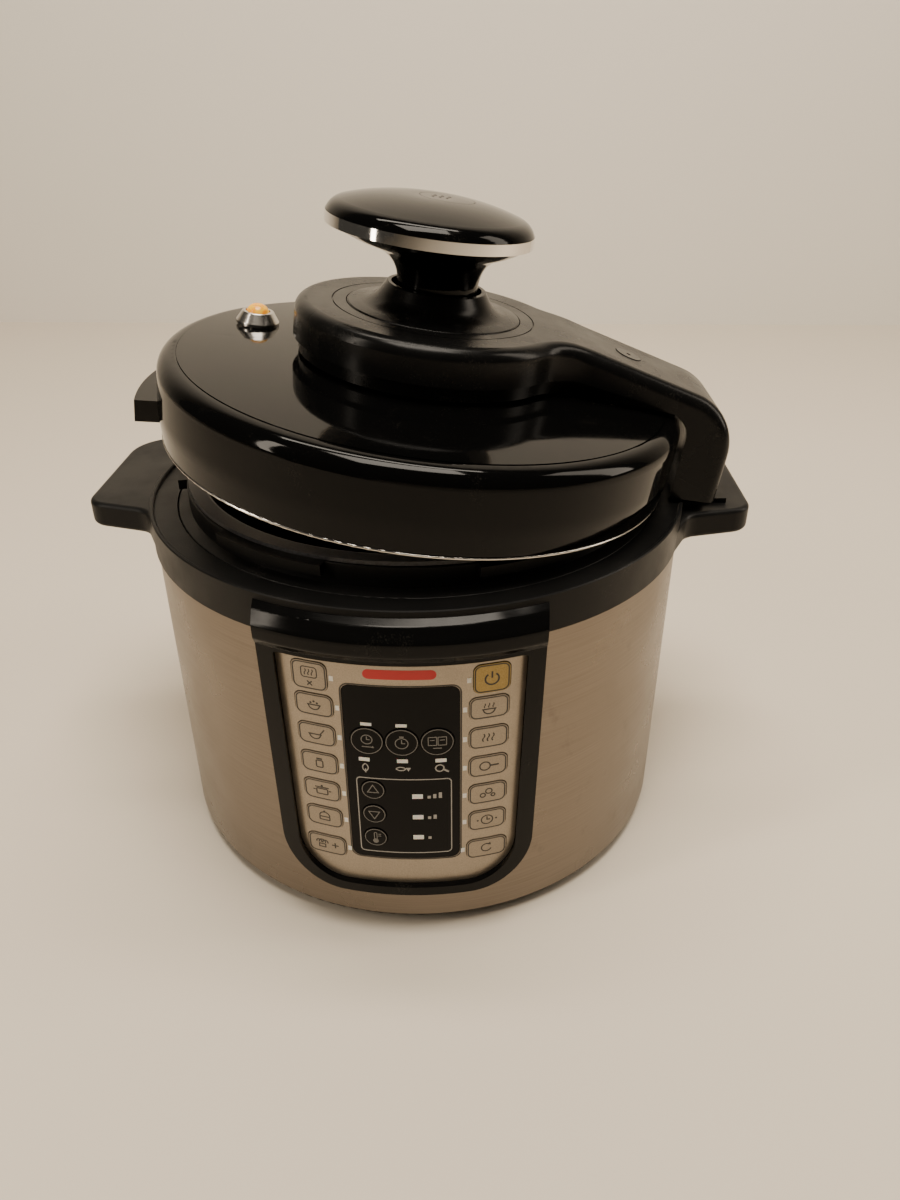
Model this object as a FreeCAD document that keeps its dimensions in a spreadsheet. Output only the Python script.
"""Electric pressure cooker with a side-hinged, bayonet-locked lid.

Millimetres, +Z up, origin on the table under the centre of the body, the control panel towards -Y
and the lid's hinge towards +X. Every size is a cell of the spreadsheet "Sizes". Lid pieces are drawn
as if the lid were shut, and their Placement then turns them about the hinge to the rest pose, in
which the unlocked lid stands a few degrees ajar.
"""
import FreeCAD, Part
import Sketcher
import math
import os

Vector = FreeCAD.Vector
doc = FreeCAD.newDocument("PressureCooker")

# ---------------------------------------------------------------- sizes
SIZES = {
    # body
    "shell_radius": 140, "shell_wall": 0.8, "shell_bottom": 8, "shell_top": 173.5, "base_bottom": 4,
    "base_wall": 2.5, "pan_height": 18, "foot_radius": 10, "screw_radius": 1.6, "screw_length": 14,
    "vent_count": 16, "moving_gap": 0.3, "seat_gap": 0.1,
    # collar, handles and cup shelf
    "collar_wall": 2.4, "collar_skirt": 1.5, "collar_floor": 2.5, "handle_thickness": 14,
    "handle_front": 21, "handle_root": 31, "handle_back": 72, "shelf_width": 76,
    # hinge
    "pin_radius": 3, "pin_gap": 0.05, "tower_width": 24, "tower_radius": 5.4, "lid_ajar": 8,
    # pots and heater
    "pot_wall": 2, "pot_bottom": 46, "outer_pot_wall": 1.8, "outer_pot_bottom": 28,
    "element_circle": 62, "element_radius": 3.3, "sensor_radius": 12, "sensor_stem": 4,
    # bayonet
    "body_lug_height": 5, "body_lug_angle": 28, "lid_lug_height": 2.4, "lid_lug_angle": 26,
    "lug_pitch": 60,
    # front panel
    "bezel_half_width": 64, "bezel_bottom": 29.5, "frame_width": 8.6, "faceplate_thick": 1.6,
    "panel_draw": 3, "panel_ledge": 2.5, "window_half_width": 26, "window_bottom": 52,
    "panel_gap": 0.2, "key_width": 17.5, "key_height": 12, "key_column": 39, "key_pitch": 16.7,
    "key_gap": 0.35, "key_proud": 0.5, "key_travel": 0.6, "stem_side": 4, "board_thick": 1.6,
    "switch_height": 2.4, "round_key_radius": 7.6, "small_key_radius": 5.6,
    # lid
    "lid_wall": 2.5, "plate_thick": 1.8, "steel_wall": 1.2, "valve_x": -92.3, "valve_y": 28.1,
    "valve_radius": 6.2,
    # arm
    "arm_base_radius": 68, "arm_half_width": 27.5, "arm_blend": 30, "arm_wall": 2.6,
    "arm_slope_start": 66, "arm_slope": 14, "arm_corner": 30, "arm_edge": 6, "tier_inset": 3,
    "lid_gap": 1.2,
    # knob
    "hub_radius": 30, "hub_flange": 43, "neck_radius": 22, "knob_radius": 50, "knob_offset": 6.5,
    "band_height": 5, "button_radius": 13, "button_travel": 3.5,
}

# Sizes that follow a leading one: each number is the step from it, and has a cell of its own.
FOLLOWERS = {
    "shell_radius": {
        "foot_circle": -34, "screw_circle": -56, "collar_radius": 1.2, "gutter_inner": -12.6,
        "handle_reach": 37, "shelf_reach": 23, "hinge_x": 8, "pot_radius": -26.5,
        "pot_rim_radius": -20, "outer_pot_radius": -22, "plate_radius": -46, "ring_radius": -19,
        "body_lug_reach": -14.6, "lid_lug_inner": -17.4, "bezel_front": 7, "brow_front": 9.5,
        "faceplate_front": 3.8, "board_front": -14.4, "lid_radius": -8, "lid_foot_radius": -10,
        "seam_radius": -16.8, "ear_reach": 3, "leg_reach": 17,
    },
    "shell_top": {
        "rim_top": 17.5, "gutter_floor": 15.5, "handle_top": 10.5, "shelf_top": 8.5, "hinge_z": 26.5,
        "pot_rim": 29.3, "ring_top": 27.3, "lid_lug_bottom": 19.1, "bezel_top": 13,
        "window_top": -19.5, "key_first": -33, "lid_bottom": 18.5, "lid_shoulder": 57.5,
        "plate_crown": 61.5, "ear_bottom": 20.5, "ear_top": 31.5, "arm_top": 87.1, "leg_bottom": 16.5,
        "tier_bottom": 62.5, "tier_top": 69.5, "band_bottom": 122.5, "knob_top": 138.5,
    },
}
STEPS = {alias: (leader, step) for leader, steps in FOLLOWERS.items() for alias, step in steps.items()}


class Size:
    """A number together with the spreadsheet formula that gives it."""

    def __init__(self, value, formula):
        self.value = float(value)
        self.formula = formula

    def __add__(self, other):
        other = as_size(other)
        return Size(self.value + other.value, f"({self.formula} + {other.formula})")

    def __sub__(self, other):
        other = as_size(other)
        return Size(self.value - other.value, f"({self.formula} - {other.formula})")

    def __mul__(self, other):
        other = as_size(other)
        return Size(self.value * other.value, f"({self.formula} * {other.formula})")

    def __truediv__(self, other):
        other = as_size(other)
        return Size(self.value / other.value, f"({self.formula} / {other.formula})")

    def __neg__(self):
        return Size(-self.value, f"(-1 * {self.formula})")

    def __radd__(self, other):
        return as_size(other) + self

    def __rsub__(self, other):
        return as_size(other) - self

    def __rmul__(self, other):
        return as_size(other) * self


def as_size(number):
    return number if isinstance(number, Size) else Size(number, repr(float(number)))


def root(size):
    return Size(math.sqrt(size.value), f"sqrt({size.formula})")


def sine(angle):
    angle = as_size(angle)
    return Size(math.sin(math.radians(angle.value)), f"sin({angle.formula})")


def cosine(angle):
    angle = as_size(angle)
    return Size(math.cos(math.radians(angle.value)), f"cos({angle.formula})")


sheet = doc.addObject("Spreadsheet::Sheet", "Sizes")
step_cells = {f"{alias}_step": step for alias, (leader, step) in STEPS.items()}
for row, (alias, number) in enumerate({**SIZES, **step_cells}.items(), start=1):
    sheet.set(f"A{row}", alias)
    sheet.set(f"B{row}", str(number))
    sheet.setAlias(f"B{row}", alias)
doc.recompute()


class Cells:
    """Cells of the sheet as Size values: cell.shell_radius. A follower is its leader plus its step."""

    def __getattr__(self, alias):
        if alias in STEPS:
            leader, step = STEPS[alias]
            return getattr(self, leader) + Size(step, f"Sizes.{alias}_step")
        return Size(SIZES[alias], f"Sizes.{alias}")


cell = Cells()


# ---------------------------------------------------------------- drawing tools
def bind(thing, prop, size):
    """Drive one property from the sheet."""
    thing.setExpression(prop, as_size(size).formula)


def place(thing, x=0, y=0, z=0):
    for axis, size in zip("xyz", (x, y, z)):
        bind(thing, f"Placement.Base.{axis}", size)
    return thing


def cylinder(name, radius, height, x=0, y=0, z=0):
    thing = doc.addObject("Part::Cylinder", name)
    bind(thing, "Radius", radius)
    bind(thing, "Height", height)
    return place(thing, x, y, z)


def box(name, low, high):
    """A block between two opposite corners."""
    thing = doc.addObject("Part::Box", name)
    for prop, first, last in zip(("Length", "Width", "Height"), low, high):
        bind(thing, prop, as_size(last) - first)
    return place(thing, *low)


def cut(name, base, *tools):
    for number, tool in enumerate(tools, start=1):
        last = number == len(tools)
        result = doc.addObject("Part::Cut", name if last else f"{name}_step{number}")
        result.Base = base
        result.Tool = tool
        base = result
    return base


def fuse(name, *pieces):
    result = doc.addObject("Part::MultiFuse", name)
    result.Shapes = list(pieces)
    result.Refine = True
    return result


def common(name, first, second):
    result = doc.addObject("Part::Common", name)
    result.Base = first
    result.Tool = second
    return result


def group(name, *pieces):
    result = doc.addObject("Part::Compound", name)
    result.Links = list(pieces)
    return result


def new_body(name):
    return doc.addObject("PartDesign::Body", name)


def attach(body, name, role, offset=0, turn=0):
    """A sketch on one of the body's origin planes, shifted along the plane's normal.

    turn swings an upright sketch about the vertical axis, in degrees.
    """
    sketch = body.newObject("Sketcher::SketchObject", name)
    plane = [feature for feature in body.Origin.OriginFeatures if feature.Role == role][0]
    sketch.AttachmentSupport = [(plane, "")]
    sketch.MapMode = "FlatFace"
    sketch.AttachmentOffset = FreeCAD.Placement(Vector(), FreeCAD.Rotation(Vector(0, 1, 0), turn))
    bind(sketch, "AttachmentOffset.Base.z", offset)
    return sketch


def outline(sketch, points):
    """A closed outline of straight sides. A point is (x, y) or (x, y, corner radius)."""
    corners = [tuple(as_size(number) for number in point) for point in points]
    count = len(corners)
    flat = [Vector(corner[0].value, corner[1].value, 0) for corner in corners]
    starts, ends, arcs = list(flat), list(flat), {}
    for index, corner in enumerate(corners):
        if len(corner) < 3:
            continue
        here, before, after = flat[index], flat[index - 1], flat[(index + 1) % count]
        inward, outward = (before - here).normalize(), (after - here).normalize()
        half = inward.getAngle(outward) / 2
        reach = corner[2].value / math.tan(half)
        starts[index] = here + outward * reach
        ends[index] = here + inward * reach
        centre = here + (inward + outward).normalize() * (corner[2].value / math.sin(half))
        bends_left = inward.cross(outward).z < 0
        first, second = (ends[index], starts[index]) if bends_left else (starts[index], ends[index])
        angles = [math.atan2(point.y - centre.y, point.x - centre.x) for point in (first, second)]
        circle = Part.Circle(centre, Vector(0, 0, 1), corner[2].value)
        arcs[index] = (Part.ArcOfCircle(circle, *angles), bends_left)
    sides = [sketch.addGeometry(Part.LineSegment(starts[index], ends[(index + 1) % count]))
             for index in range(count)]
    for index, corner in enumerate(corners):
        previous, following = sides[index - 1], sides[index]
        if index in arcs:
            arc = sketch.addGeometry(arcs[index][0])
            tip = sketch.addGeometry(Part.Point(flat[index]), True)
            first, second = (1, 2) if arcs[index][1] else (2, 1)
            sketch.addConstraint(Sketcher.Constraint("Tangent", previous, 2, arc, first))
            sketch.addConstraint(Sketcher.Constraint("Tangent", arc, second, following, 1))
            sketch.addConstraint(Sketcher.Constraint("PointOnObject", tip, 1, previous))
            sketch.addConstraint(Sketcher.Constraint("PointOnObject", tip, 1, following))
            radius = sketch.addConstraint(Sketcher.Constraint("Radius", arc, corner[2].value))
            bind(sketch, f"Constraints[{radius}]", corner[2])
            holder, end = tip, 1
        else:
            sketch.addConstraint(Sketcher.Constraint("Coincident", previous, 2, following, 1))
            holder, end = following, 1
        for kind, axis, size in (("DistanceX", -2, corner[0]), ("DistanceY", -1, corner[1])):
            if size.value == 0:
                sketch.addConstraint(Sketcher.Constraint("PointOnObject", holder, end, axis))
            else:
                number = sketch.addConstraint(Sketcher.Constraint(kind, -1, 1, holder, end, size.value))
                bind(sketch, f"Constraints[{number}]", size)
    return sketch


def ring_outline(sketch, x, y, radius):
    """A circle held by its centre and radius."""
    x, y, radius = as_size(x), as_size(y), as_size(radius)
    circle = sketch.addGeometry(Part.Circle(Vector(x.value, y.value, 0), Vector(0, 0, 1), radius.value))
    for kind, axis, size in (("DistanceX", -2, x), ("DistanceY", -1, y)):
        if size.value == 0:
            sketch.addConstraint(Sketcher.Constraint("PointOnObject", circle, 3, axis))
        else:
            number = sketch.addConstraint(Sketcher.Constraint(kind, -1, 1, circle, 3, size.value))
            bind(sketch, f"Constraints[{number}]", size)
    number = sketch.addConstraint(Sketcher.Constraint("Radius", circle, radius.value))
    bind(sketch, f"Constraints[{number}]", radius)
    return sketch


def turned(body, points, name="Section", angle=360, turn=0, cutting=False):
    """Revolve a (radius, height) outline about the body's upright axis."""
    sketch = outline(attach(body, name, "XZ_Plane", 0, turn), points)
    kind = "PartDesign::Groove" if cutting else "PartDesign::Revolution"
    feature = body.newObject(kind, f"{name}Turned")
    feature.Profile = sketch
    feature.ReferenceAxis = (sketch, ["V_Axis"])
    feature.Midplane = True
    bind(feature, "Angle", angle)
    body.Tip = feature
    return feature


def turned_body(name, points):
    body = new_body(name)
    turned(body, points)
    return body


def padded(body, sketch, length, cutting=False):
    """Pad a sketch along its plane's normal, or pocket it against the normal."""
    kind = "PartDesign::Pocket" if cutting else "PartDesign::Pad"
    feature = body.newObject(kind, sketch.Name + ("Pocket" if cutting else "Pad"))
    feature.Profile = sketch
    bind(feature, "Length", length)
    body.Tip = feature
    return feature


def repeated(body, feature, count, angle):
    """Repeat a feature about the upright axis, over angle degrees in all."""
    pattern = body.newObject("PartDesign::PolarPattern", feature.Name + "Pattern")
    pattern.Originals = [feature]
    axis = [item for item in body.Origin.OriginFeatures if item.Role == "Z_Axis"][0]
    pattern.Axis = (axis, [""])
    bind(pattern, "Angle", angle)
    bind(pattern, "Occurrences", count)
    body.Tip = pattern
    return pattern


def rounded_box_points(x, y, width, height, radius):
    """Corner points of a rounded rectangle round a centre."""
    right, up = as_size(width) / 2, as_size(height) / 2
    return [(x - right, y - up, radius), (x + right, y - up, radius),
            (x + right, y + up, radius), (x - right, y + up, radius)]


def front_prism(name, points, near=100, far=160):
    """An outline in X and Z, carried along -Y through the front of the body."""
    body = new_body(name)
    padded(body, outline(attach(body, f"{name}Outline", "XZ_Plane", near), points), far - as_size(near))
    return body


def front_bar(name, x, z, radius, near=100, far=160):
    """A round bar along -Y through the front of the body."""
    body = new_body(name)
    padded(body, ring_outline(attach(body, f"{name}Circle", "XZ_Plane", near), x, z, radius),
           far - as_size(near))
    return body


def sleeve(name, inner, outer, low, high):
    """A plain tube about the upright axis."""
    return turned_body(name, [(inner, low), (outer, low), (outer, high), (inner, high)])


NODES = []


def node(thing, ajar=False):
    """Keep an object as a sub-part. Lid pieces are turned about the hinge to the rest pose."""
    if ajar:
        tilt, hinge_x, hinge_z = cell.lid_ajar, cell.hinge_x, cell.hinge_z
        thing.Placement = FreeCAD.Placement(Vector(), FreeCAD.Rotation(Vector(0, 1, 0), tilt.value))
        bind(thing, "Placement.Rotation.Angle", tilt)
        place(thing, hinge_x - hinge_x * cosine(tilt) - hinge_z * sine(tilt), 0,
              hinge_z + hinge_x * sine(tilt) - hinge_z * cosine(tilt))
    NODES.append(thing)
    return thing


# ---------------------------------------------------------------- base, feet and shell
shell_inner = cell.shell_radius - cell.shell_wall
pan_radius = shell_inner - cell.moving_gap
pan_floor = cell.base_bottom + cell.base_wall

base_pan = turned_body("base_pan", [
    (0, cell.base_bottom), (cell.shell_radius - 7, cell.base_bottom, 2),
    (cell.shell_radius - 0.4, cell.base_bottom + 2.5, 1.5),
    (cell.shell_radius - 0.4, cell.shell_bottom), (pan_radius, cell.shell_bottom),
    (pan_radius, cell.base_bottom + cell.pan_height),
    (pan_radius - cell.base_wall, cell.base_bottom + cell.pan_height),
    (pan_radius - cell.base_wall, pan_floor), (0, pan_floor)])
vent = outline(attach(base_pan, "Vent", "XY_Plane", pan_floor),
               rounded_box_points(as_size(48), as_size(0), 26, 3.6, 1.7))
repeated(base_pan, padded(base_pan, vent, cell.base_wall, cutting=True), cell.vent_count, 360)
screw_holes = ring_outline(attach(base_pan, "ScrewHole", "XY_Plane", pan_floor),
                           cell.screw_circle, 0, cell.screw_radius + cell.moving_gap)
repeated(base_pan, padded(base_pan, screw_holes, cell.base_wall, cutting=True), 4, 360)
node(base_pan)


def on_circle(name, maker, circle, count=4, first=0):
    """Copies of one piece round the upright axis, as separate solids in one group."""
    pieces = []
    for index in range(count):
        angle = first + 360.0 * index / count
        pieces.append(maker(f"{name}_{index + 1}", circle * cosine(angle), circle * sine(angle)))
    return group(name, *pieces)


def foot(name, x, y):
    pad = doc.addObject("Part::Cone", name)
    bind(pad, "Radius1", cell.foot_radius - 1)
    bind(pad, "Radius2", cell.foot_radius)
    bind(pad, "Height", cell.base_bottom)
    return place(pad, x, y, 0)


def screw(name, x, y):
    head_height = 1.8
    head = cylinder(f"{name}_head", cell.screw_radius * 2, head_height, x, y,
                    cell.base_bottom - head_height)
    shank = cylinder(f"{name}_shank", cell.screw_radius, cell.screw_length, x, y, cell.base_bottom)
    return fuse(name, head, shank)


node(on_circle("feet", foot, cell.foot_circle, first=45))
node(on_circle("base_screws", screw, cell.screw_circle))

shell_tube = sleeve("shell_tube", shell_inner, cell.shell_radius, cell.shell_bottom, cell.shell_top)
panel_hole = front_prism("panel_hole", rounded_box_points(as_size(0), as_size(101), 104, 126, 8))
inlet_width, inlet_low, inlet_high = 30, 26, 50
inlet_hole = box("inlet_hole", (-inlet_width / 2 - cell.moving_gap, 120, inlet_low - cell.moving_gap),
                 (inlet_width / 2 + cell.moving_gap, 150, inlet_high + cell.moving_gap))
node(cut("outer_shell", shell_tube, panel_hole, inlet_hole))

# ---------------------------------------------------------------- collar, handles and cup shelf
spigot_outer = shell_inner - cell.moving_gap
skirt_inner = cell.shell_radius + cell.seat_gap
skirt_bottom = cell.shell_top - cell.collar_skirt
floor_under = cell.gutter_floor - cell.collar_floor
spigot_bottom = cell.shell_top - 7.5
collar_ring = turned_body("collar_ring", [
    (cell.collar_radius, skirt_bottom), (cell.collar_radius, cell.rim_top - 0.5),
    (cell.collar_radius - 0.5, cell.rim_top), (cell.collar_radius - 1.6, cell.rim_top),
    (cell.collar_radius - 2.1, cell.rim_top - 0.5),
    (cell.collar_radius - cell.collar_wall, cell.gutter_floor),
    (cell.gutter_inner, cell.gutter_floor), (cell.gutter_inner, floor_under - 5.5),
    (cell.gutter_inner + 2.5, floor_under - 5.5), (cell.gutter_inner + 2.5, floor_under),
    (spigot_outer - cell.collar_floor, floor_under), (spigot_outer - cell.collar_floor, spigot_bottom),
    (spigot_outer, spigot_bottom), (spigot_outer, cell.shell_top), (skirt_inner, cell.shell_top),
    (skirt_inner, skirt_bottom)])


HANDLE_ROOT_X = 118


def handle(name, side):
    """A flat carrying handle. side is 1 on the right and -1 on the left."""
    reach = cell.handle_reach
    points = [(HANDLE_ROOT_X, -cell.handle_root - 21), (132.5, -cell.handle_root - 17.5),
              (141.5, -cell.handle_root + 0.5, 12), (reach, -cell.handle_front, 12),
              (reach, cell.handle_back, 26), (128, cell.handle_back + 12, 16),
              (96, cell.handle_back + 34), (96, 40)]
    body = new_body(name)
    sketch = attach(body, f"{name}Plan", "XY_Plane", cell.handle_top - cell.handle_thickness)
    outline(sketch, [(side * as_size(point[0]), *point[1:]) for point in points])
    padded(body, sketch, cell.handle_thickness)
    edges = [f"Edge{index}" for index, edge in enumerate(body_shape(body).Edges, start=1)
             if is_level(edge) and max(abs(edge.BoundBox.XMin), abs(edge.BoundBox.XMax)) > HANDLE_ROOT_X + 1]
    plain = body.Tip
    rounding = body.newObject("PartDesign::Fillet", f"{name}Rounding")
    rounding.Base = (plain, edges)
    rounding.Radius = 2.5
    body.Tip = rounding
    return body


def body_shape(body):
    """The body's shape so far."""
    doc.recompute()
    return body.Shape


def is_level(edge):
    return edge.BoundBox.ZLength < 1e-6


handle_low = cell.handle_top - cell.handle_thickness
handles = []
for label, direction in (("right_handle", 1), ("left_handle", -1)):
    shell_room = cylinder(f"{label}_shell_room", skirt_inner, cell.shell_top - handle_low, z=handle_low)
    ring_room = cylinder(f"{label}_ring_room", spigot_outer - 1, cell.handle_thickness, z=handle_low)
    handles.append(cut(f"{label}_trimmed", handle(label, direction), shell_room, ring_room))

shelf_under = cell.shelf_top - 5
shelf_side = cell.shelf_width / 2
rail_low = shelf_under - 6
shelf = box("shelf", (-shelf_side, 130, shelf_under), (shelf_side, cell.shelf_reach, cell.shelf_top))
rails = []
for label, direction in (("right_rail", 1), ("left_rail", -1)):
    edges = sorted((direction * shelf_side, direction * (shelf_side - 3)), key=lambda size: size.value)
    lips = sorted((direction * shelf_side, direction * (shelf_side - 7)), key=lambda size: size.value)
    rails.append(box(label, (edges[0], 144, rail_low), (edges[1], cell.shelf_reach, shelf_under)))
    rails.append(box(f"{label}_lip", (lips[0], 144, rail_low), (lips[1], cell.shelf_reach, rail_low + 2)))
shelf_room = cylinder("shelf_room", spigot_outer - 1, 30, z=rail_low - 5)
shelf_parts = cut("shelf_trimmed", fuse("shelf_rough", shelf, *rails), shelf_room)
collar_rough = fuse("collar_rough", collar_ring, *handles, shelf_parts)

notch_side = cell.arm_half_width + 2.5
leg_notch = box("leg_notch", (cell.gutter_inner + 1, -notch_side, cell.gutter_floor),
                (cell.collar_radius + 2, notch_side, cell.rim_top + 1))
spill_notch = box("spill_notch", (-9, 134, cell.gutter_floor), (9, 145, cell.rim_top + 1))
drip_hole = cylinder("drip_hole", 4, 10, 0, 152, cell.shelf_top - 7)
node(cut("top_collar", collar_rough, leg_notch, spill_notch, drip_hole))

# ---------------------------------------------------------------- hinge tower on the right handle
tower_side = cell.tower_width / 2
tower_foot = box("tower_foot", (cell.collar_radius + 1.3, -tower_side - 3, cell.handle_top),
                 (cell.hinge_x + 16, tower_side + 3, cell.handle_top + 2.6))
tower_post = box("tower_post", (cell.hinge_x - cell.tower_radius, -tower_side, cell.handle_top),
                 (cell.hinge_x + cell.tower_radius, tower_side, cell.hinge_z))


def cross_bar(name, radius, half_length):
    """A round bar along the hinge axis."""
    bar = doc.addObject("Part::Cylinder", name)
    bar.Placement = FreeCAD.Placement(Vector(), FreeCAD.Rotation(Vector(1, 0, 0), -90))
    bind(bar, "Radius", radius)
    bind(bar, "Height", as_size(half_length) * 2)
    return place(bar, cell.hinge_x, -as_size(half_length), cell.hinge_z)


tower_head = cross_bar("tower_head", cell.tower_radius, tower_side)
tower_solid = fuse("tower_solid", tower_foot, tower_post, tower_head)
node(cut("hinge_tower", tower_solid, cross_bar("tower_bore", cell.pin_radius + cell.pin_gap, 20)))

# ---------------------------------------------------------------- pots and bayonet ring
outer_pot_inner = cell.outer_pot_radius - cell.outer_pot_wall
outer_pot_floor = cell.outer_pot_bottom + 2
outer_pot = turned_body("outer_pot", [
    (cell.sensor_stem + cell.moving_gap, cell.outer_pot_bottom), (cell.outer_pot_radius, cell.outer_pot_bottom, 8),
    (cell.outer_pot_radius, cell.ring_top), (outer_pot_inner, cell.ring_top),
    (outer_pot_inner, outer_pot_floor, 6), (cell.sensor_stem + cell.moving_gap, outer_pot_floor)])
pillar = ring_outline(attach(outer_pot, "Pillar", "XY_Plane", pan_floor), cell.screw_circle, 0,
                      cell.screw_radius + 3)
repeated(outer_pot, padded(outer_pot, pillar, cell.outer_pot_bottom - pan_floor), 4, 360)
tapped = ring_outline(attach(outer_pot, "Tapped", "XY_Plane", pan_floor + 13), cell.screw_circle, 0,
                      cell.screw_radius)
repeated(outer_pot, padded(outer_pot, tapped, 13, cutting=True), 4, 360)
node(outer_pot)

bayonet_ring = turned_body("bayonet_ring", [
    (cell.outer_pot_radius + 0.02, cell.gutter_floor - 6), (cell.gutter_inner - cell.moving_gap, cell.gutter_floor - 6),
    (cell.gutter_inner - cell.moving_gap, cell.gutter_floor - 0.4, 1),
    (cell.ring_radius, cell.gutter_floor + 1.4), (cell.ring_radius, cell.ring_top, 0.8),
    (cell.outer_pot_radius + 0.02, cell.ring_top)])
body_lug = turned(bayonet_ring, [
    (cell.ring_radius - 1, cell.ring_top - cell.body_lug_height),
    (cell.body_lug_reach, cell.ring_top - cell.body_lug_height),
    (cell.body_lug_reach, cell.ring_top), (cell.ring_radius - 1, cell.ring_top)],
    name="BodyLug", angle=cell.body_lug_angle, turn=60)
repeated(bayonet_ring, body_lug, 5, cell.lug_pitch * 4)
node(bayonet_ring)

pot_inner = cell.pot_radius - cell.pot_wall
pot_floor = cell.pot_bottom + cell.pot_wall + 0.4
node(turned_body("inner_pot", [
    (0, cell.pot_bottom), (cell.pot_radius, cell.pot_bottom, 14),
    (cell.pot_radius, cell.ring_top + cell.seat_gap), (cell.pot_rim_radius, cell.ring_top + cell.seat_gap),
    (cell.pot_rim_radius, cell.pot_rim), (pot_inner, cell.pot_rim, 2), (pot_inner, pot_floor, 12),
    (0, pot_floor)]))

# ---------------------------------------------------------------- heater and sensor
groove_side = cell.element_radius + 0.6
plate_under = outer_pot_floor + 4
node(turned_body("heating_plate", [
    (cell.sensor_radius + 1.2, plate_under), (cell.element_circle - groove_side, plate_under),
    (cell.element_circle - groove_side, plate_under + 4.4), (cell.element_circle + groove_side, plate_under + 4.4),
    (cell.element_circle + groove_side, plate_under), (cell.plate_radius - 14, plate_under),
    (cell.plate_radius - 14, outer_pot_floor), (cell.plate_radius - 6, outer_pot_floor),
    (cell.plate_radius - 6, plate_under), (cell.plate_radius, plate_under + 2),
    (cell.plate_radius, cell.pot_bottom - cell.seat_gap), (cell.sensor_radius + 1.2, cell.pot_bottom - cell.seat_gap)]))

element = doc.addObject("Part::Torus", "heating_element")
bind(element, "Radius1", cell.element_circle)
bind(element, "Radius2", cell.element_radius)
node(place(element, 0, 0, plate_under + 4.2 - cell.element_radius))

sensor_top = cell.pot_bottom - cell.seat_gap
sensor_cap_low = sensor_top - 4
node(turned_body("temperature_sensor", [
    (0, pan_floor + 5), (cell.sensor_stem, pan_floor + 5), (cell.sensor_stem, sensor_cap_low),
    (cell.sensor_radius, sensor_cap_low), (cell.sensor_radius, sensor_top, 1.5), (0, sensor_top)]))


def coil_spring(name, coil_radius, wire_radius, low, high, turns):
    """A helical spring: a round wire swept along a helix about the upright axis."""
    pitch = (high - low - 2 * wire_radius) / turns
    path = Part.makeHelix(pitch, pitch * turns, coil_radius)
    path.translate(Vector(0, 0, low + wire_radius))
    section = Part.Wire(Part.makeCircle(wire_radius, Vector(coil_radius, 0, low + wire_radius), Vector(0, 1, 0)))
    spring = doc.addObject("Part::Feature", name)
    spring.Shape = Part.Wire(path).makePipeShell([section], True, True)
    return spring


node(coil_spring("sensor_spring", cell.sensor_stem.value + 3, 0.6, outer_pot_floor.value + 0.1,
                 sensor_cap_low.value - 0.1, 4))

# ---------------------------------------------------------------- power board and inlet
board_low = pan_floor + 7
board = box("power_board_plate", (-52, 18, board_low), (52, 74, board_low + cell.board_thick))
board_parts = [
    box("transformer", (-40, 30, board_low + 1), (-18, 54, board_low + 13)),
    box("relay", (12, 40, board_low + 1), (30, 54, board_low + 12)),
    cylinder("capacitor_big", 6, 11, 0, 36, board_low + 1),
    cylinder("capacitor_small", 4, 9, 2, 60, board_low + 1)]
spacers = [cylinder(f"spacer_{number}", 3, board_low - pan_floor, x, y, pan_floor)
           for number, (x, y) in enumerate(((-46, 24), (46, 24), (-46, 68), (46, 68)), start=1)]
node(fuse("power_board", board, *board_parts, *spacers))

inlet_block = box("inlet_block", (-inlet_width / 2, 122, inlet_low), (inlet_width / 2, 143, inlet_high))
inlet_flange_blank = box("inlet_flange_blank", (-19, 130, inlet_low - 3), (19, 150, inlet_high + 5))
inlet_flange = common("inlet_flange", sleeve("inlet_sleeve", skirt_inner, cell.shell_radius + 2, 20, 60),
                      inlet_flange_blank)
inlet_cavity = box("inlet_cavity", (-12, 126, inlet_low + 3), (12, 150, inlet_high - 4))
pin_places = ((-7, 35), (7, 35), (0, 41))


def inlet_bar(name, x, z, radius, near, far):
    bar = doc.addObject("Part::Cylinder", name)
    bar.Placement = FreeCAD.Placement(Vector(), FreeCAD.Rotation(Vector(1, 0, 0), -90))
    bind(bar, "Radius", radius)
    bind(bar, "Height", far - near)
    return place(bar, x, near, z)


pin_holes = [inlet_bar(f"pin_hole_{number}", x, z, 1.2, 115, 130) for number, (x, z) in enumerate(pin_places, 1)]
node(cut("power_inlet", fuse("inlet_solid", inlet_block, inlet_flange), inlet_cavity, *pin_holes))
node(group("inlet_pins", *[inlet_bar(f"inlet_pin_{number}", x, z, 1.2, 120, 139)
                           for number, (x, z) in enumerate(pin_places, 1)]))

# ---------------------------------------------------------------- condensate cup
cup_side = shelf_side - 8
cup_top = shelf_under - cell.moving_gap
cup_far = cell.shelf_reach - 1
flange_low = rail_low + 2 + cell.moving_gap
cup_solid = fuse("cup_solid",
                 box("cup_block", (-cup_side, 142.4, cup_top - 52), (cup_side, cup_far, cup_top)),
                 box("cup_flange", (-cup_side - 4.4, 145, flange_low), (cup_side + 4.4, cup_far, cup_top)))
cup_room = box("cup_room", (-cup_side + 1.8, 144.2, cup_top - 50), (cup_side - 1.8, cup_far - 1.8, cup_top + 1))
node(cut("condensate_cup", cup_solid, cup_room))

# ---------------------------------------------------------------- front panel
faceplate_back = cell.faceplate_front - cell.faceplate_thick
face_half = cell.bezel_half_width - cell.frame_width
face_low = cell.bezel_bottom + 5.5
face_high = cell.bezel_top - 19.5


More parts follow.
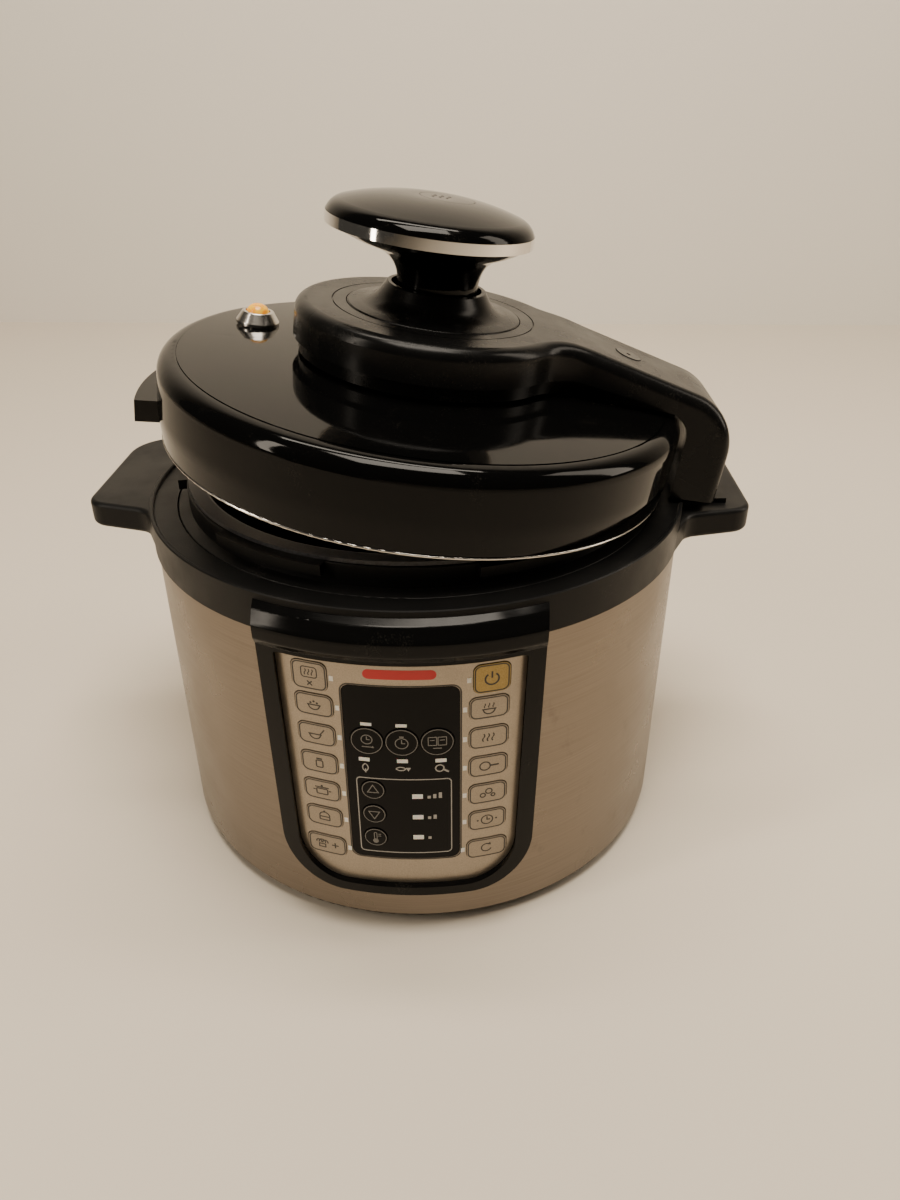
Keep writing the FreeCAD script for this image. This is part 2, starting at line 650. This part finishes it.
def panel_outline(half_width, low, high, top_radius, corner_radius):
    """A shield shape: square shoulders, sides that draw in a little, and broad round bottom corners."""
    foot = half_width - cell.panel_draw
    return [(-half_width, high, top_radius), (-foot, low, corner_radius),
            (foot, low, corner_radius), (half_width, high, top_radius)]


def curved_piece(name, inner, outer, points):
    """The part of a sleeve between two radii that an outline covers."""
    wall = sleeve(f"{name}_wall", inner, outer, cell.shell_bottom, cell.rim_top)
    return common(name, wall, front_prism(f"{name}_prism", points))


bezel_section = turned_body("bezel_section", [
    (skirt_inner, 20), (cell.bezel_front, 20), (cell.bezel_front, face_high + 2),
    (cell.brow_front, face_high + 6, 3), (cell.brow_front, cell.bezel_top - 7, 5),
    (cell.bezel_front - 2, cell.bezel_top - 1, 3), (cell.collar_radius + cell.seat_gap, cell.bezel_top + 1),
    (cell.collar_radius + cell.seat_gap, skirt_bottom - cell.seat_gap), (skirt_inner, skirt_bottom - cell.seat_gap)])
bezel_prism = front_prism("bezel_prism", panel_outline(
    cell.bezel_half_width, cell.bezel_bottom, cell.rim_top, 1.5, 30))
recess = curved_piece("bezel_recess", faceplate_back - cell.panel_gap, cell.brow_front + 4, panel_outline(
    face_half + cell.panel_gap, face_low - cell.panel_gap, face_high + cell.panel_gap, 2, 24))
opening = front_prism("bezel_opening", panel_outline(
    face_half - cell.panel_ledge, face_low + cell.panel_ledge, face_high - cell.panel_ledge, 2, 21))
node(cut("panel_bezel", common("bezel_solid", bezel_section, bezel_prism), recess, opening))

window_mid = (cell.window_bottom + cell.window_top) / 2
window_height = cell.window_top - cell.window_bottom
key_rows = [cell.key_first + cell.key_pitch * 0.94] + [
    cell.key_first - cell.key_pitch * step for step in range(5)] + [cell.key_first - cell.key_pitch * 5.1]
KEY_NAMES = {
    -1: ("cancel_key", "menu_key_1", "menu_key_2", "menu_key_3", "menu_key_4", "menu_key_5", "custom_key"),
    1: ("power_key", "menu_key_6", "menu_key_7", "menu_key_8", "menu_key_9", "menu_key_10", "menu_key_11"),
}
round_row = as_size(124)
small_column = as_size(-14.3)
ROUND_KEYS = (
    ("delay_key", as_size(-15.8), round_row, cell.round_key_radius),
    ("timer_key", as_size(0), round_row, cell.round_key_radius),
    ("menu_key", as_size(16), round_row, cell.round_key_radius),
    ("up_key", small_column, as_size(95.2), cell.small_key_radius),
    ("down_key", small_column, as_size(80.2), cell.small_key_radius),
    ("temperature_key", small_column, as_size(65.2), cell.small_key_radius),
)


def key_stem(name, x, z):
    """The square stem that reaches from a key's cap back to its switch."""
    half = cell.stem_side / 2
    tip = cell.board_front + cell.switch_height + cell.key_travel + cell.seat_gap
    middle_of_cap = faceplate_back + 0.8
    front = root(middle_of_cap * middle_of_cap - x * x)
    return box(f"{name}_stem", (x - half, -front, z - half), (x + half, -tip, z + half))


def key_size(row):
    """Width and height of the key in one row: the top one is larger, the bottom one wider."""
    width = cell.key_width - 1.5 if row == 0 else cell.key_width + (1.5 if row == 6 else 0)
    height = cell.key_height + (3 if row == 0 else 0)
    return width, height


face_holes = []
lens_places = []
key_nodes = []
for side, names in KEY_NAMES.items():
    for row, name in enumerate(names):
        key_x = side * (cell.key_column + (1 if row == 0 else 0))
        width, height = key_size(row)
        key_corner = 3.4
        cap = curved_piece(f"{name}_cap", faceplate_back, cell.faceplate_front + cell.key_proud,
                           rounded_box_points(key_x, key_rows[row], width, height, key_corner))
        key_nodes.append(fuse(name, cap, key_stem(name, key_x, key_rows[row])))
        face_holes.append(front_prism(f"{name}_hole", rounded_box_points(
            key_x, key_rows[row], width + 2 * cell.key_gap, height + 2 * cell.key_gap, key_corner + 0.3)))
        lens_x = key_x - side * (width / 2 + cell.key_gap + 1.6)
        lens_places.append((lens_x, key_rows[row], as_size(1.8), as_size(2.6)))

window_holes = []
for name, key_x, key_z, radius in ROUND_KEYS:
    wall = sleeve(f"{name}_wall", faceplate_back, cell.faceplate_front + cell.key_proud, 40, 160)
    cap = common(f"{name}_cap", wall, front_bar(f"{name}_bar", key_x, key_z, radius))
    key_nodes.append(fuse(name, cap, key_stem(name, key_x, key_z)))
    window_holes.append(front_bar(f"{name}_hole", key_x, key_z, radius + cell.key_gap))
window_lenses = [(as_size(x), as_size(133.3), as_size(5), as_size(1.6)) for x in (-15.8, 0)]
window_lenses += [(as_size(x), as_size(113), as_size(5), as_size(2)) for x in (-17.5, 0, 17.5)]
window_lenses += [(as_size(6.4), as_size(z), as_size(5), as_size(2.6)) for z in (91.7, 78.8, 65.9)]


def lens_block(name, place_and_size, gap=0, near=120, far=160):
    """A square peg along -Y at one indicator's place."""
    x, z, width, height = place_and_size
    return box(name, (x - width / 2 - gap, -as_size(far), z - height / 2 - gap),
               (x + width / 2 + gap, -as_size(near), z + height / 2 + gap))


lens_gap = 0.02
face_solid = curved_piece("face_solid", faceplate_back, cell.faceplate_front, panel_outline(
    face_half, face_low, face_high, 2, 24))
window_hole = front_prism("window_hole", rounded_box_points(
    as_size(0), window_mid, 2 * (cell.window_half_width + cell.panel_gap), window_height + 2 * cell.panel_gap, 4.2))
face_pegs = group("face_pegs", *[lens_block(f"face_peg_{number}", spot, lens_gap)
                                 for number, spot in enumerate(lens_places, 1)])
node(cut("faceplate", face_solid, window_hole, fuse("key_holes", *face_holes), face_pegs))

window_solid = curved_piece("window_solid", faceplate_back, cell.faceplate_front, rounded_box_points(
    as_size(0), window_mid, 2 * cell.window_half_width, window_height, 4))
window_pegs = group("window_pegs", *[lens_block(f"window_peg_{number}", spot, lens_gap)
                                     for number, spot in enumerate(window_lenses, 1)])
node(cut("display_window", window_solid, fuse("round_holes", *window_holes), window_pegs))

lens_pegs = group("lens_pegs", *[lens_block(f"lens_peg_{number}", spot)
                                 for number, spot in enumerate(lens_places + window_lenses, 1)])
lens_wall = sleeve("lens_wall", faceplate_back, cell.faceplate_front + 0.1, 40, 170)
node(common("indicator_lenses", lens_wall, lens_pegs))

control_plate = box("control_plate", (-47, -cell.board_front, 44), (47, -cell.board_front + cell.board_thick, 160))
switches = []
for number, key_place in enumerate(
        [(side * (cell.key_column + (1 if row == 0 else 0)), key_rows[row]) for side in (-1, 1) for row in range(7)]
        + [(x, z) for _, x, z, _ in ROUND_KEYS], start=1):
    x, z = key_place
    switches.append(box(f"switch_{number}", (x - 3, -cell.board_front - cell.switch_height, z - 3),
                        (x + 3, -cell.board_front + 0.2, z + 3)))
display_module = box("display_module", (-23, -cell.board_front - 12, 134), (23, -cell.board_front + 0.2, 152))
node(fuse("control_board", control_plate, display_module, *switches))
for key in key_nodes:
    node(key)

# ---------------------------------------------------------------- lid, drawn shut
plate_seat = cell.lid_shoulder - cell.plate_thick
lid_shell = turned_body("lid_shell", [
    (cell.lid_foot_radius - cell.lid_wall + 0.6, cell.lid_bottom), (cell.lid_foot_radius, cell.lid_bottom, 0.6),
    (cell.lid_radius, cell.lid_bottom + 13, 40), (cell.lid_radius, cell.lid_shoulder, 8.4),
    (cell.seam_radius, cell.lid_shoulder), (cell.seam_radius, plate_seat), (cell.seam_radius - 6, plate_seat),
    (cell.seam_radius - 6, plate_seat - 2.4), (cell.lid_radius - cell.lid_wall, plate_seat - 2.4, 6),
    (cell.lid_radius - cell.lid_wall, cell.lid_bottom + 13),
    (cell.lid_foot_radius - cell.lid_wall + 0.6, cell.lid_bottom + 4)])
ear_wall = sleeve("ear_wall", cell.lid_radius - 1.2, cell.ear_reach, cell.ear_bottom, cell.ear_top)
ear_plan = new_body("ear_plan")
padded(ear_plan, outline(attach(ear_plan, "EarPlan", "XY_Plane", cell.ear_bottom - 1), [
    (-100, -25), (-152, -38, 8), (-152, 34, 30), (-100, 72)]), cell.ear_top - cell.ear_bottom + 2)
ear = common("ear", ear_wall, ear_plan)
node(fuse("lid_cover", lid_shell, ear), ajar=True)

valve_hole = cylinder("valve_hole", cell.valve_radius + 0.6, 60, cell.valve_x, cell.valve_y, 190)
centre_hole = 12
plate_disc = turned_body("plate_disc", [
    (centre_hole, cell.plate_crown), (66, cell.plate_crown, 1500),
    (cell.seam_radius - 0.35, cell.lid_shoulder + 0.35), (cell.seam_radius - 0.35, plate_seat + cell.seat_gap),
    (centre_hole, plate_seat + cell.seat_gap)])
node(cut("lid_top_plate", plate_disc, valve_hole), ajar=True)

steel_outer = cell.lid_foot_radius - cell.lid_wall + 0.5
steel_inner = steel_outer - cell.steel_wall
steel_step = 214
rolled_low = cell.lid_bottom - 0.1 - cell.steel_wall
steel_dish = turned_body("steel_dish", [
    (steel_inner, rolled_low), (cell.lid_foot_radius + 0.2, rolled_low, 0.5),
    (cell.lid_foot_radius + 0.2, cell.lid_bottom - 0.1, 0.5), (steel_outer, cell.lid_bottom - 0.1),
    (steel_outer, 220, 3), (120, 220), (120, steel_step), (8.3, steel_step),
    (8.3, steel_step - cell.steel_wall), (121.2, steel_step - cell.steel_wall), (121.2, 218.8), (steel_inner, 218.8)])
lid_lug = turned(steel_dish, [
    (cell.lid_lug_inner, cell.lid_lug_bottom), (steel_inner + 0.4, cell.lid_lug_bottom),
    (steel_inner + 0.4, cell.lid_lug_bottom + cell.lid_lug_height),
    (cell.lid_lug_inner, cell.lid_lug_bottom + cell.lid_lug_height)],
    name="LidLug", angle=cell.lid_lug_angle, turn=90)
repeated(steel_dish, lid_lug, 5, cell.lug_pitch * 4)
pin_bore = cylinder("pin_bore", 2.6, 60, cell.valve_x, cell.valve_y, 190)
node(cut("steel_lid", steel_dish, pin_bore), ajar=True)

seal_low = cell.pot_rim + 0.2
seal_high = steel_step - cell.steel_wall - 0.1
node(turned_body("sealing_ring", [
    (109.4, seal_low, 0.8), (118.4, seal_low, 1.5), (120.6, seal_high, 1), (111.4, seal_high),
    (111.4, seal_high - 2.2), (116.6, seal_high - 2.2, 1), (115.4, seal_low + 2.6, 1), (109.4, seal_low + 2.2, 0.8)]),
    ajar=True)

inner_disc = turned_body("inner_disc", [
    (5, seal_low + 2.6), (108.8, seal_low + 2.6), (108.8, seal_low + 3.8), (14, seal_low + 3.8),
    (14, seal_high), (9.5, seal_high), (9.5, seal_low + 3.8), (5, seal_low + 3.8)])
inner_bore = cylinder("inner_bore", 5, 60, cell.valve_x, cell.valve_y, 190)
node(cut("inner_plate", inner_disc, inner_bore), ajar=True)

# float valve: a pin under a coloured dome, in a bright bezel
bezel_low = cell.plate_crown - 1.4
bezel_ring = turned_body("bezel_ring", [
    (cell.valve_radius + 0.25, plate_seat), (cell.valve_radius + 0.5, plate_seat),
    (cell.valve_radius + 0.5, bezel_low), (cell.valve_radius + 5, bezel_low),
    (cell.valve_radius + 5, bezel_low + 1.4, 0.6), (cell.valve_radius + 1.8, bezel_low + 6.4, 0.6),
    (cell.valve_radius + 0.25, bezel_low + 6.4)])
place(bezel_ring, cell.valve_x, cell.valve_y, 0)
node(group("float_bezel", bezel_ring), ajar=True)

float_top = bezel_low + 10
float_stem = turned_body("float_stem", [
    (0, seal_low + 1), (4.2, seal_low + 1), (4.2, seal_low + 3), (2.2, seal_low + 3), (2.2, plate_seat + 2),
    (cell.valve_radius, plate_seat + 2), (cell.valve_radius, float_top, 5.6), (0, float_top)])
place(float_stem, cell.valve_x, cell.valve_y, 0)
node(group("float_pin", float_stem), ajar=True)

node(turned_body("release_valve", [
    (3.4, seal_low + 4), (8, seal_low + 4), (8, steel_step + 0.1), (11.4, steel_step + 0.1),
    (11.4, steel_step + 5, 1), (8.6, steel_step + 8, 2), (8.6, cell.plate_crown + 14, 1),
    (3.4, cell.plate_crown + 14)]), ajar=True)

# ---------------------------------------------------------------- arm that carries the lid
lid_room_radius = cell.lid_radius + 3.4
slope_drop = (cell.leg_reach - cell.arm_slope_start) * sine(cell.arm_slope) / cosine(cell.arm_slope)
lid_room = turned_body("lid_room", [
    (0, 150), (lid_room_radius, 150), (lid_room_radius, cell.lid_shoulder + cell.lid_gap, 11),
    (66, cell.plate_crown + cell.lid_gap - 0.2), (0, cell.plate_crown + cell.lid_gap - 0.2)])


def arm_blank(name, inset, side_points):
    """The arm's outline from above and from the side, both drawn in by one inset, as one solid."""
    low, high = 150, 280
    half = cell.arm_half_width - inset
    disc = cylinder(f"{name}_disc", cell.arm_base_radius - inset, high - low, z=low)
    bar = box(f"{name}_bar", (0, -half, low), (cell.leg_reach + 20, half, high))
    rough = fuse(f"{name}_rough", disc, bar)
    doc.recompute()
    waist = root((cell.arm_base_radius - inset) * (cell.arm_base_radius - inset) - half * half).value
    corners = [(index, edge) for index, edge in enumerate(rough.Shape.Edges, start=1)
               if abs(edge.BoundBox.XMin - waist) < 0.01 and edge.BoundBox.ZLength > 100]
    blended = doc.addObject("Part::Fillet", f"{name}_blended")
    blended.Base = rough
    blend = (cell.arm_blend + inset).value
    blended.Edges = [(index, blend, blend) for index, _ in corners]
    side = new_body(f"{name}_side")
    feature = padded(side, outline(attach(side, f"{name}Side", "XZ_Plane"), side_points), 200)
    feature.Midplane = True
    return common(name, blended, side)


def top_line(inset):
    """The arm's upper outline from the side: level over the lid, a slope, and the corner of the leg."""
    return [(-90, cell.arm_top - inset), (cell.arm_slope_start, cell.arm_top - inset, 60),
            (cell.leg_reach - inset, cell.arm_top - slope_drop - inset, cell.arm_corner - inset)]


arm_outer = arm_blank("arm_outer", as_size(0), [
    (-90, cell.tier_top), *top_line(as_size(0)), (cell.leg_reach, cell.leg_bottom),
    (126, cell.leg_bottom), (126, cell.tier_top - 10), (110, cell.tier_top - 6), (72, cell.tier_top, 40)])
doc.recompute()


def on_upper_rim(edge):
    """True for an edge where the arm's top or end face meets its sides."""
    middle = edge.valueAt((edge.FirstParameter + edge.LastParameter) / 2)
    on_side = abs(middle.y) > cell.arm_half_width.value - 0.01
    on_disc = abs(math.hypot(middle.x, middle.y) - cell.arm_base_radius.value) < 0.01
    above_lid = middle.z > cell.tier_top.value + 1 and not is_upright(edge)
    on_leg = middle.x > cell.lid_radius.value and middle.z > cell.leg_bottom.value + 1
    return (on_side or on_disc) and (above_lid or on_leg)


def is_upright(edge):
    return edge.BoundBox.XLength < 0.01 and edge.BoundBox.YLength < 0.01


rim_edges = [index for index, edge in enumerate(arm_outer.Shape.Edges, start=1) if on_upper_rim(edge)]
arm_rounded = doc.addObject("Part::Fillet", "arm_rounded")
arm_rounded.Base = arm_outer
arm_rounded.Edges = [(index, cell.arm_edge.value, cell.arm_edge.value) for index in rim_edges]

inner_wall_x = lid_room_radius + cell.arm_wall
cavity_blank = arm_blank("cavity_blank", cell.arm_wall, [
    (-90, cell.tier_top - 12), *top_line(cell.arm_wall), (cell.leg_reach - cell.arm_wall, 160),
    (inner_wall_x, 160), (inner_wall_x, cell.tier_top - 16), (126, cell.tier_top - 5),
    (110, cell.tier_top - 12)])
core = cylinder("arm_core", cell.hub_flange + 4, 200, z=100)
cavity = cut("arm_cavity", cavity_blank, core)
bearing_gap = 0.3
flange_low = cell.arm_top - 4.2
hub_bore = cylinder("hub_bore", cell.hub_radius + bearing_gap, 200, z=150)
flange_room = cylinder("flange_room", cell.hub_flange + 0.4, 50, z=flange_low)
ring_groove = sleeve("ring_groove", cell.hub_flange + 6.6, cell.hub_flange + 7.3, cell.arm_top - 0.8,
                     cell.arm_top + 5)
tower_slot = box("tower_slot", (cell.hinge_x, -tower_side - 4.5, 150),
                 (cell.leg_reach + 5, tower_side + 4.5, cell.hinge_z + 6.5))
cap_x = 100
cap_z = cell.arm_top - (cap_x - cell.arm_slope_start) * sine(cell.arm_slope) / cosine(cell.arm_slope)


def tilted_disc(name, radius, above, below):
    """A disc square to the arm's sloping top, at the place of the screw cap."""
    disc = doc.addObject("Part::Cylinder", name)
    disc.Placement = FreeCAD.Placement(Vector(), FreeCAD.Rotation(Vector(0, 1, 0), cell.arm_slope.value))
    bind(disc, "Radius", radius)
    bind(disc, "Height", as_size(above) + below)
    return place(disc, cap_x - as_size(below) * sine(cell.arm_slope), 0,
                 cap_z - as_size(below) * cosine(cell.arm_slope))


pin_half_length = cell.arm_half_width - 3
arm_pin_bore = cross_bar("arm_pin_bore", cell.pin_radius + 0.02, pin_half_length + 0.1)
node(cut("lid_arm", arm_rounded, cavity, lid_room, hub_bore, flange_room, ring_groove, tower_slot,
         arm_pin_bore, tilted_disc("cap_hole", 7, 5, 6)), ajar=True)

tier_blank = arm_blank("tier_blank", cell.tier_inset, [
    (-90, cell.tier_bottom - 20), (-90, cell.tier_top - 0.1), (72, cell.tier_top - 0.1, 40),
    (110, cell.tier_top - 6.1), (126, cell.tier_top - 10.1), (126, cell.tier_bottom - 20)])
tier_room = cylinder("tier_room", cell.hub_radius + bearing_gap, 200, z=150)
node(cut("arm_base", tier_blank, lid_room, tier_room), ajar=True)

cap_slot = tilted_disc("cap_slot", 1.2, 1, 0.8)
node(group("arm_screw_cap", cut("cap_solid", tilted_disc("cap_disc", 6.7, 0.3, 3), cap_slot)), ajar=True)
node(group("hinge_pin", cross_bar("pin_bar", cell.pin_radius, pin_half_length)), ajar=True)

hinge_coil = coil_spring("hinge_coil", cell.pin_radius.value + 1.6, 0.7, 0, 9.5, 5)
hinge_coil.Placement = FreeCAD.Placement(
    Vector(cell.hinge_x.value, tower_side.value + 1, cell.hinge_z.value), FreeCAD.Rotation(Vector(1, 0, 0), -90))
node(group("hinge_spring", hinge_coil), ajar=True)

# ---------------------------------------------------------------- knob and steam release button
neck_seat = flange_low + 9.4
node(turned_body("knob_base", [
    (10, cell.plate_crown + 0.1), (cell.hub_radius, cell.plate_crown + 0.1),
    (cell.hub_radius, flange_low + 0.2), (cell.hub_flange, flange_low + 0.2),
    (cell.hub_flange, cell.arm_top + 0.4, 0.8), (30.6, cell.arm_top + 2, 12),
    (cell.neck_radius + 2.4, cell.arm_top + 11.4, 0.7), (cell.neck_radius + 0.3, cell.arm_top + 11.4),
    (cell.neck_radius + 0.3, neck_seat), (10, neck_seat)]), ajar=True)

band_top = cell.band_bottom + cell.band_height
NECK_SECTIONS = (
    (neck_seat + 0.1, cell.neck_radius, as_size(0)),
    (cell.band_bottom - 17, cell.neck_radius - 1, -0.04 * cell.knob_offset),
    (cell.band_bottom - 11, cell.neck_radius + 3.2, -0.25 * cell.knob_offset),
    (cell.band_bottom - 7, cell.neck_radius + 11, -0.55 * cell.knob_offset),
    (cell.band_bottom - 3.5, cell.knob_radius - 8, -0.8 * cell.knob_offset),
    (cell.band_bottom, cell.knob_radius - 1.2, -cell.knob_offset),
)
neck = new_body("knob_neck")
rings = [ring_outline(attach(neck, f"NeckRing{number}", "XY_Plane", height), shift, 0, radius)
         for number, (height, radius, shift) in enumerate(NECK_SECTIONS, start=1)]
loft = neck.newObject("PartDesign::AdditiveLoft", "NeckLoft")
loft.Profile = rings[0]
loft.Sections = [(ring, [""]) for ring in rings[1:]]
neck.Tip = loft


def knob_dome(name):
    """The lens-shaped top of the knob, on its own axis beside the lid's."""
    inside = cell.knob_radius - 1.2
    dome = turned_body(name, [
        (0, cell.band_bottom - 0.01), (inside, cell.band_bottom - 0.01), (inside, band_top + 0.1),
        (cell.knob_radius - 0.2, band_top + 0.1), (cell.knob_radius - 2.5, band_top + 4.5, 9),
        (26, cell.knob_top, 110), (0, cell.knob_top)])
    return place(dome, -cell.knob_offset, 0, 0)


button_low = band_top + 1.5
button_well = cylinder("button_well", cell.button_radius + 0.25, 40, z=button_low - cell.button_travel - 0.3)
spring_low = button_low - 14
spring_well = cylinder("spring_well", 8, 40, z=spring_low)
stem_bore = cylinder("stem_bore", 3.4, 200, z=150)
knob_solid = fuse("knob_solid", neck, knob_dome("knob_top_dome"))
node(cut("knob_cap", knob_solid, button_well, spring_well, stem_bore), ajar=True)
node(group("knob_band", place(sleeve("band_ring", cell.knob_radius - 1.15, cell.knob_radius, cell.band_bottom,
                                     band_top), -cell.knob_offset, 0, 0)), ajar=True)

button_blank = cylinder("button_blank", cell.button_radius, 40, z=button_low)
button_head = common("button_head", button_blank, knob_dome("button_dome"))
button_stem = cylinder("button_stem", 2.9, button_low - cell.plate_crown + 9, z=cell.plate_crown - 8)
node(fuse("steam_button", button_head, button_stem), ajar=True)
node(group("button_spring", coil_spring("button_coil", 5.2, 0.6, spring_low.value + 0.1,
                                        button_low.value - 0.1, 5)), ajar=True)

# ---------------------------------------------------------------- checks and export
doc.recompute()
failed = [item.Label for item in doc.Objects if "Invalid" in item.State or "Error" in item.State]
if failed:
    raise RuntimeError(f"these objects failed: {failed}")
os.makedirs("parts", exist_ok=True)
for item in NODES:
    shape = item.Shape
    if shape.isNull() or not shape.isValid() or not shape.Solids:
        raise RuntimeError(f"{item.Label} has no valid shape")
    shape.exportStep(f"parts/{item.Label}.step")
    bounds = shape.BoundBox
    print(f"{item.Label:20s} solids {len(shape.Solids):3d}  volume {shape.Volume / 1000:9.2f} cm3  "
          f"x {bounds.XMin:7.1f} {bounds.XMax:7.1f}  y {bounds.YMin:7.1f} {bounds.YMax:7.1f}  "
          f"z {bounds.ZMin:6.1f} {bounds.ZMax:6.1f}")
print(len(NODES), "sub-parts")
